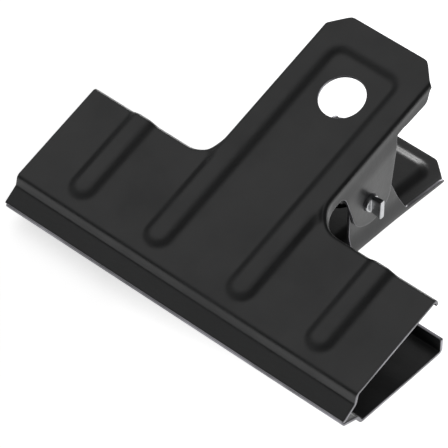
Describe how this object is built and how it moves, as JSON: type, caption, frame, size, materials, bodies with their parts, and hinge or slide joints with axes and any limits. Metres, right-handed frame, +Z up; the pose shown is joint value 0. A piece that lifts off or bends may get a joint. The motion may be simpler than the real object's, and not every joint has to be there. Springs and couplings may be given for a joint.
{
  "type": "hinged letter clip",
  "caption": "Spring clip of two hinged pressed steel leaves with wide ribbed jaws, flanged handles with a sunk panel and hang hole, a hinge rod and a torsion spring.",
  "frame": {"origin": "under the middle of the bounding box, on the plane that the lower leaf's pressed beads rest on", "axes": "+X along the hinge rod, +Y from the gripping lips towards the handle ends, +Z up, normal to the lower leaf's plate"},
  "size_m": [0.076, 0.0608, 0.0273],
  "materials": {
    "leaf_enamel": "satin black baked enamel",
    "plated_rod": "bright zinc plate",
    "spring_wire": "black oxide"
  },
  "bodies": {
    "lower_jaw": {"lower_leaf": "leaf_enamel", "hinge_rod": "plated_rod", "torsion_spring": "spring_wire"},
    "upper_jaw": {"upper_leaf": "leaf_enamel"}
  },
  "joints": [
    {"name": "jaw_hinge", "type": "hinge", "parent": "lower_jaw", "child": "upper_jaw", "pos_m": [0, 0.00689, 0.01024], "axis": [-1, 0, 0], "range_deg": [0, 62], "stiffness_Nm_per_rad": 0.5, "springref_deg": -57.3, "deforming": ["torsion_spring"]}
  ]
}
